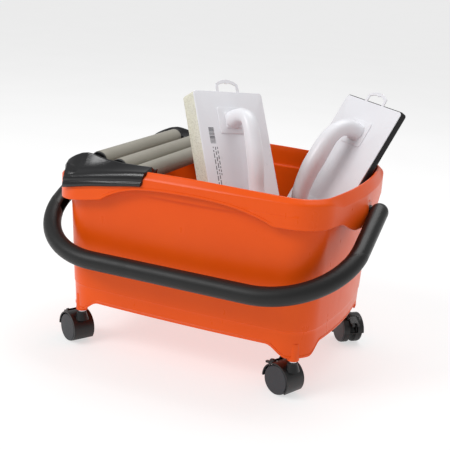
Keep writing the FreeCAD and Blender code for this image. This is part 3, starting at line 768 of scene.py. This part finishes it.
def bracketSection(x):
    # outline of each cross-section, as distance from the middle plane and height, from the flap's lower
    # edge up over the ridge and down the cheek, then back along the underside
    t = (x - bracketSizes["from"]) / (bracketSizes["to"] - bracketSizes["from"])
    face = collarFace(x) + bracketSizes["gap"]
    low = np.interp(x, *bracketSizes["lowEdge"])
    ridge = np.interp(x, *bracketSizes["ridge"])
    ridgeY = np.interp(x, *bracketSizes["ridgeY"])
    swell = bracketSizes["swell"]
    groove = low + np.interp(t, *bracketSizes["groove"])
    shelf = np.interp(t, *bracketSizes["shelf"])
    points = [(face + 0.1, low + 1.0), (face + 1.4, low - 0.2), (face + 3.4, low + 0.8),
              (face + swell, low + 3.6), (face + swell - 0.5, low + 6.4), (face + 2.9, groove - 1.6),
              (face + 2.0, groove), (face + 2.3, groove + 1.6), (face + 1.9, groove + 5.5),
              (face + 1.2 - shelf * 0.3, groove + 8.0 + shelf * 0.25 + 2.0 * t),
              (face - shelf, groove + 10.0 + shelf * 0.5 + 3.5 * t)]
    startY, startZ = points[-1]
    for share in (0.2, 0.4, 0.6, 0.78, 0.92):
        # sweep from the shelf to the ridge, a little hollow
        points.append((mixed(startY, ridgeY, share ** 0.85), mixed(startZ, ridge, share ** 1.2)))
    cheek = bracketSizes["cheekY"]
    deck = np.minimum(ridge - 5.0, bracketSizes["deck"])
    points += [(ridgeY, ridge), (ridgeY - 2.2, ridge + 0.3), (ridgeY - 4.2, ridge - 1.4),
               (mixed(ridgeY - 4.2, cheek, 0.4), deck + 1.0), (cheek + 1.6, deck), (cheek, deck - 2.0),
               (cheek, 318.0), (cheek, 306.0), (cheek + 2.0, 304.0)]
    inner = np.minimum(face - 18.0, 162.0)
    points += [(inner - 3.0, 304.4), (inner - 2.0, 318.0), (inner - 1.0, 326.0),
               (mixed(inner, face, 0.45), np.maximum(low + 12.0, 320.0)),
               (face + 0.05, np.maximum(low + 8.0, 312.0))]
    return np.array([[np.broadcast_to(y, x.shape), np.broadcast_to(z, x.shape)] for y, z in points])


def smoothLoop(section):
    # cuts each corner of a closed loop: two points per side, a quarter and three quarters of the way along
    after = np.roll(section, -1, axis=0)
    a = section * 0.75 + after * 0.25
    b = section * 0.25 + after * 0.75
    return np.stack([a, b], 1).reshape((-1,) + section.shape[1:])


def bracketPart(sign):
    # the section joined along X from the tub's corner to the flap's end, on one side or the other
    start = bracketSizes["from"]
    end = bracketSizes["to"]
    x = mixed(start, end, np.linspace(0, 1, bracketSizes["stations"]))
    section = smoothLoop(bracketSection(x))
    # the skin draws in over the last few millimetres at each end, so that its rims are round
    near = np.minimum(x - start, end - x)
    inward = 1.0 - 0.9 * (1 - np.clip(near / 1.6, 0, 1)) ** 2 * 0.35
    middle = section.mean(0)
    section = middle + (section - middle) * inward
    y = section[:, 0]
    z = section[:, 1]
    # the far end leans: the upper edge runs further along than the lower one
    lean = np.clip((z - 315.0) / 24.0, -0.3, 1.2)
    shiftX = 5.0 * lean * softStep((x - (end - 40)) / 40)[None]
    # the outer end follows the tub's corner, so its upper part sits further back
    backX = -10.0 * softStep((start + 40 - x) / 40)[None] * softStep((176 - y) / 24)
    points = np.stack([x[None] + shiftX + backX, y * sign, z], -1).transpose(1, 0, 2)
    return gridPart(points, capLow=True, capHigh=True)


def axleHubs(sign):
    # a low round hub on the cheek where each axle goes in
    return [revolvedPart(bracketSizes["hub"], (x, 0, z), (0, sign, 0), 40, closed=True)
            for x, z in rollerSizes["axes"]]


addPiece("bracketFront", [bracketPart(-1)] + axleHubs(-1), glossBlack, "roller_rack",
         ["bracket_front"], 42)
addPiece("bracketBack", [bracketPart(1)] + axleHubs(1), glossBlack, "roller_rack",
         ["bracket_back"], 42)
print("brackets made")


floatSizes = {"length": 280.0, "plate": 2.5, "corner": 6.0, "tab": (-2.5, -0.3)}


def floatFrame(place, azimuth, tilt, roll):
    # a place at the top of the plate, and three axes: across, up the length, and out on the handle's side
    az, el, turn = (math.radians(v) for v in (azimuth, tilt, roll))
    out = np.array([math.cos(az) * math.cos(el), math.sin(az) * math.cos(el), math.sin(el)])
    steepest = unit(np.array([0, 0, 1.0]) - out * out[2])
    level = np.cross(steepest, out)
    up = steepest * math.cos(turn) + level * math.sin(turn)
    return np.array(place, float), np.array([np.cross(up, out), up, out])


spongeFloat = {
    "frame": floatFrame((-3.9, -7.2, 451.5), -27.7, 28.1, 4.8), "width": 142.0, "pad": 30.0, "over": 0.0,
    "line": [(-50, 2), (-49, 14), (-51, 27), (-60, 39), (-76, 43), (-100, 42), (-125, 40), (-150, 36),
             (-176, 30), (-200, 27), (-216, 24), (-226, 16), (-229, 2)],
    "wide": [17, 14.5, 13.2, 13, 13.4, 13.8, 13.8, 13.2, 12.6, 12.8, 13.5, 15, 18],
    "deep": [15, 13, 11.8, 11, 11.5, 12.5, 13, 12.6, 11.8, 11.5, 12, 13.5, 16],
    "foot": (-51, 30, 23), "label": True,
}
rubberFloat = {
    "frame": floatFrame((202.0, 166.0, 437.6), 241.2, 30.4, 5.1), "width": 140.0, "pad": 11.0, "over": 2.0,
    "line": [(-60, 2), (-60, 14), (-64, 28), (-76, 42), (-94, 50), (-114, 52), (-136, 52), (-158, 52),
             (-184, 48), (-204, 42), (-218, 32), (-226, 18), (-228, 2)],
    "wide": [17, 15, 14, 13.8, 14.2, 14.8, 15.2, 15, 14.4, 14, 14.2, 15.5, 18],
    "deep": [16, 15, 14.5, 14, 15, 16.5, 17.5, 17, 15.5, 14.2, 14, 14.5, 17],
    "foot": (-60, 24.5, 23.5), "label": False,
}


def splined(points, count):
    # smooth curve through the points: a cubic through four neighbours at a time, evenly spread by index
    points = np.asarray(points, float)
    padded = np.vstack([2 * points[0] - points[1], points, 2 * points[-1] - points[-2]])
    at = np.linspace(0, len(points) - 1 - 1e-9, count)
    k = at.astype(int)
    t = (at - k)[:, None]
    a, b, c, d = padded[k], padded[k + 1], padded[k + 2], padded[k + 3]
    square = (2 * a - 5 * b + 4 * c - d) * t ** 2
    cube = (3 * b - a - 3 * c + d) * t ** 3
    return 0.5 * (2 * b + (c - a) * t + square + cube)


def handlePart(spec):
    # oval section carried along a smooth line in the float's middle plane, flaring where it meets its feet
    place, axes = spec["frame"]
    rows = 90
    line = splined(spec["line"], rows)
    sizes = splined(np.stack([spec["wide"], spec["deep"]], 1), rows)
    way = unit(np.gradient(line, axis=0))
    normal = np.stack([-way[:, 1], way[:, 0]], 1)
    turn = np.linspace(0, 2 * math.pi, 44, endpoint=False)
    # slightly squared oval: cosine and sine raised to a power below one
    c = np.sign(np.cos(turn)) * np.abs(np.cos(turn)) ** 0.9
    s = np.sign(np.sin(turn)) * np.abs(np.sin(turn)) ** 0.9
    across = sizes[:, :1] * c[None]
    off = sizes[:, 1:] * s[None]
    points = np.stack([across, line[:, :1] + normal[:, :1] * off, line[:, 1:] + normal[:, 1:] * off], -1)
    return gridPart(placedIn(points, place, axes), capLow=True, capHigh=True)


def ringPart(outer, inner, low, high, place, axes, edge=0.4):
    # flat band between two outlines with the same number of points, with small bevels
    outer = np.asarray(outer, float)
    inner = np.asarray(inner, float)
    middle = (outer + inner) / 2
    inset = edge / np.linalg.norm(outer - inner, axis=1, keepdims=True)
    outerIn = outer + (inner - outer) * inset
    innerOut = inner + (outer - inner) * inset
    rings = [(innerOut, low), (middle, low), (outerIn, low), (outer, low + edge), (outer, high - edge),
             (outerIn, high), (middle, high), (innerOut, high), (inner, high - edge), (inner, low + edge)]
    points = np.array([np.column_stack([ring, np.full(len(ring), z)]) for ring, z in rings])
    return gridPart(placedIn(points, place, axes), closedRows=True)


def tabPart(spec):
    # hanging tab: a thin hoop with a hooked notch in the middle of its upper edge
    place, axes = spec["frame"]
    outer = [(-24, -5), (-24, 6), (-23, 14), (-16, 18), (-7, 21), (0, 21.5), (7, 21), (16, 18), (23, 14),
             (24, 6), (24, -5), (0, -5)]
    inner = [(-19, -4), (-18, 6), (-18, 11), (-12, 13.5), (-5, 15.5), (0, 13.5), (5, 15.5), (12, 13.5),
             (18, 11), (18, 6), (19, -4), (0, -4)]
    return ringPart(outer, inner, *floatSizes["tab"], place, axes)


labelSizes = {"bars": 13, "barX": -48.5, "barTop": -64.5, "barPitch": 2.15, "barHalf": 5.2,
              "columns": (-46.0, -50.5, -42.0), "top": -97.0, "bottom": -190.0, "shorter": 22.0,
              "lineHalf": 0.75, "slab": (0.1, -0.1, 0.12, 0.04)}


def labelParts(spec):
    # plain raised bars: a block of level bars of uneven height, then columns of short dashes below it
    place, axes = spec["frame"]
    corner, low, high, edge = labelSizes["slab"]
    parts = []
    chance = np.random.default_rng(7)
    for k in range(labelSizes["bars"]):
        middle = (labelSizes["barX"], labelSizes["barTop"] - k * labelSizes["barPitch"])
        half = 0.35 + 0.55 * chance.random()
        parts.append(slabPart(labelSizes["barHalf"], half, corner, low, high, edge, place, axes, middle, 1))
    for column, x in enumerate(labelSizes["columns"]):
        y = labelSizes["top"]
        while y > labelSizes["bottom"] + labelSizes["shorter"] * column:
            half = 1.2 + 3.2 * chance.random()
            middle = (x, y - half)
            parts.append(slabPart(labelSizes["lineHalf"], half, corner, low, high, edge, place, axes,
                                  middle, 1))
            y -= 2 * half + 1.5 + 2.0 * chance.random()
    return parts


def floatPlate(spec):
    # plate with rounded edges, two stepped pads under the handle's feet, and the hanging tab
    place, axes = spec["frame"]
    half = spec["width"] / 2
    length = floatSizes["length"]
    parts = [slabPart(half, length / 2, floatSizes["corner"], -floatSizes["plate"], 0.0, 0.9, place, axes,
                      (0, -length / 2))]
    footY, footX, footLong = spec["foot"]
    # each pad's share of the foot's width and length, its corner, its two heights and its edge
    steps = ((1, 1, 4, -0.5, 1.5, 0.8), (0.55, 0.62, 3, 0.5, 3.0, 1.0))
    for shareX, shareLong, corner, low, high, edge in steps:
        for y in (footY, -length - footY):
            parts.append(slabPart(footX * shareX, footLong * shareLong, corner, low, high, edge, place, axes,
                                  (0, y)))
    parts.append(tabPart(spec))
    return parts


def floatPad(spec, wobble):
    # block with soft edges; its points shift across by a product of two sine waves
    place, axes = spec["frame"]
    half = spec["width"] / 2 + spec["over"]
    length = floatSizes["length"]
    low = -floatSizes["plate"] - spec["pad"]
    points, faces = slabPart(half, length / 2 + spec["over"], floatSizes["corner"], low, -2.55, 1.4,
                             place, axes, (0, -length / 2))
    ripple = np.sin(points[:, 0] * 0.21 + points[:, 2] * 0.17) * np.sin(points[:, 1] * 0.19) * wobble
    return points + axes[0] * ripple[:, None] * 0.5, faces


labelInk = mouldedPlastic("labelInk", colour(96, 97, 102), colour(80, 81, 86), 0.5, 0.4)
for title, spec, padName, padMaterial, padSlot, wobble in (
        ("sponge", spongeFloat, "spongePad", sponge, "sponge_cream", 0.35),
        ("rubber", rubberFloat, "rubberPad", padRubber, "rubber_black", 0.05)):
    body = f"{title}_float"
    addPiece(f"{title}Plate", floatPlate(spec), whitePlastic, body, [f"{body}_plate"], 40)
    addPiece(f"{title}Handle", [handlePart(spec)], whitePlastic, body, [f"{body}_handle"], 50)
    pad = addPiece(padName, [floatPad(spec, wobble)], padMaterial, body, [f"{body}_pad"], 40)
    if spec["label"]:
        addPiece(f"{title}Label", labelParts(spec), labelInk, body)
print("floats made")


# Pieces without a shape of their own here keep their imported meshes; longer names stand before shorter ones.
nodeFinishes = {"stem_sleeves": (orangePlastic, "tub_orange"), "bail_pivot": (blackPlastic, "handle_black"),
                "roller_axle": (steel, "bright_steel"), "stem_": (steel, "bright_steel"),
                "wheel_axle": (steel, "bright_steel"), "sediment_grid": (casterBlack, "caster_black"),
                "grid_legs": (casterBlack, "caster_black"), "hood": (casterBlack, "caster_black"),
                "wheel_cap": (discGrey, "wheel_disc_grey"), "wheel_a": (wheelBlack, "wheel_black"),
                "wheel_b": (wheelBlack, "wheel_black"), "brake_lever": (casterBlack, "caster_black"),
                "roller_tube": (rollerGrey, "roller_grey"), "roller_end_caps": (casterBlack, "caster_black"),
                "bracket": (glossBlack, "bracket_black"), "bail_grip": (gripRubber, "grip_black"),
                "bail": (blackPlastic, "handle_black"), "sponge_float_pad": (sponge, "sponge_cream"),
                "rubber_float_pad": (padRubber, "rubber_black"),
                "sponge_float": (whitePlastic, "float_white"), "rubber_float": (whitePlastic, "float_white"),
                "tub": (orangePlastic, "tub_orange")}
for nodeName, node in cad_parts.items():
    start = next(s for s in nodeFinishes if nodeName.startswith(s))
    material, slotName = nodeFinishes[start]
    node.data.materials.clear()
    node.data.materials.append(material)
print("packed nodes dressed")


stageSizes = {"azimuth": 23.4, "elevation": 16.1, "roll": 3.8, "distance": 1605.0, "aim": (3.6, 0.0, 217.3),
              "lens": 73.12, "sky": 0.5, "floorHalf": 40.0, "floorGlow": 0.6, "lightAim": (0.0, 0.0, 0.2),
              "lights": {"keyLight": ((-1.6, -2.2, 2.4), (1.6, 1.2), 52.0),
                         "topLight": ((0.3, 0.8, 2.6), (2.0, 1.6), 28.0)}}


def addFloor():
    half = stageSizes["floorHalf"]
    mesh = bpy.data.meshes.new("floor")
    corners = [(-half, -half, 0), (half, -half, 0), (half, half, 0), (-half, half, 0)]
    mesh.from_pydata(corners, [], [(0, 1, 2, 3)])
    finish = Finish("floorWhite")
    speck = finish.noise(3.0, 2.0, 0.5)
    tone = finish.blended(colour(176, 176, 176), colour(184, 184, 184), speck)
    mesh.materials.append(finish.set(Base_Color=tone, Roughness=0.9, Specular_IOR_Level=0.0,
                                     Emission_Color=(1.0, 1.0, 1.0, 1.0),
                                     Emission_Strength=stageSizes["floorGlow"]))
    made = bpy.data.objects.new("floor", mesh)
    bpy.context.scene.collection.objects.link(made)


def addLight(name, place, size, power):
    lamp = bpy.data.lights.new(name, "AREA")
    lamp.shape = "RECTANGLE"
    lamp.size = size[0]
    lamp.size_y = size[1]
    lamp.energy = power
    made = bpy.data.objects.new(name, lamp)
    made.location = place
    made.rotation_mode = "QUATERNION"
    made.rotation_quaternion = (Vector(stageSizes["lightAim"]) - Vector(place)).to_track_quat("-Z", "Y")
    bpy.context.scene.collection.objects.link(made)


def addCamera():
    turn = math.radians(stageSizes["azimuth"])
    lift = math.radians(stageSizes["elevation"])
    roll = math.radians(stageSizes["roll"])
    back = Vector((math.sin(turn) * math.cos(lift), -math.cos(turn) * math.cos(lift), math.sin(lift)))
    right = Vector((math.cos(turn), math.sin(turn), 0))
    up = back.cross(right)
    rolledRight = right * math.cos(roll) + up * math.sin(roll)
    rolledUp = up * math.cos(roll) - right * math.sin(roll)
    place = (Vector(stageSizes["aim"]) + back * stageSizes["distance"]) * 0.001 + Vector(origin)
    camera = bpy.data.cameras.new("camera")
    camera.lens = stageSizes["lens"]
    camera.sensor_width = 36.0
    made = bpy.data.objects.new("camera", camera)
    columns = Matrix((rolledRight, rolledUp, back)).transposed().to_4x4()
    made.matrix_world = Matrix.Translation(place) @ columns
    bpy.context.scene.collection.objects.link(made)
    bpy.context.scene.camera = made


world = bpy.data.worlds.new("studio")
world.use_nodes = True
world.node_tree.nodes["Background"].inputs["Color"].default_value = (1.0, 1.0, 1.0, 1.0)
world.node_tree.nodes["Background"].inputs["Strength"].default_value = stageSizes["sky"]
bpy.context.scene.world = world
bpy.context.scene.view_settings.view_transform = "Standard"
addFloor()
for name, (place, size, power) in stageSizes["lights"].items():
    addLight(name, place, size, power)
addCamera()
print("stage set")
